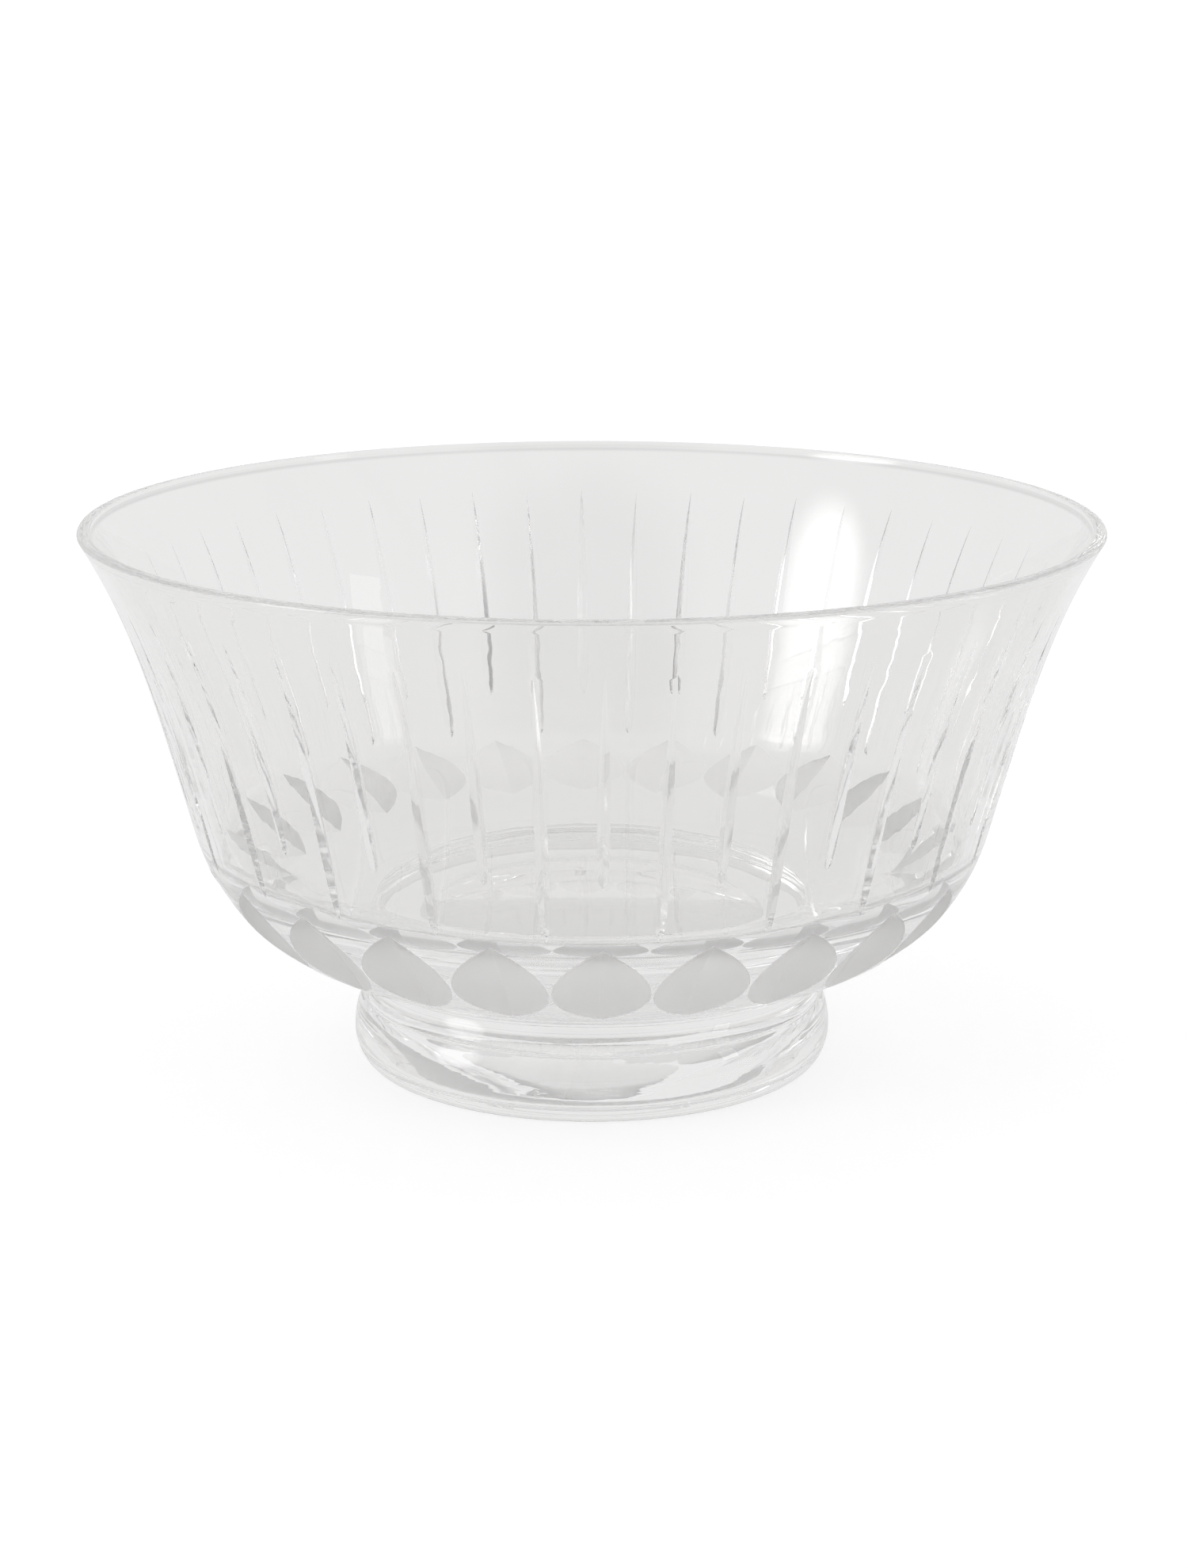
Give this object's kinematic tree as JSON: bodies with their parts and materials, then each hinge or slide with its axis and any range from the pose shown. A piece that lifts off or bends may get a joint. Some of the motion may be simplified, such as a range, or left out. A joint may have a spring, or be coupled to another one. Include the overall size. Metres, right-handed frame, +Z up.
{
  "type": "punch bowl",
  "caption": "Round footed punch bowl in clear cut crystal with a flared rim, upright mitre cuts, a band of satin leaf cuts and a moulded foot.",
  "frame": {"origin": "middle of the foot's resting face", "axes": "+Z up along the bowl's axis, out of its mouth; -Y through the middle of a short cut and its leaf cut; +X 90 degrees round from it"},
  "size_m": [0.3048, 0.3048, 0.1662],
  "materials": {
    "bowl": "polished clear lead crystal, with satin leaf cuts",
    "foot": "polished clear lead crystal"
  },
  "bodies": {
    "root": {"bowl": "bowl", "foot": "foot"}
  },
  "joints": []
}
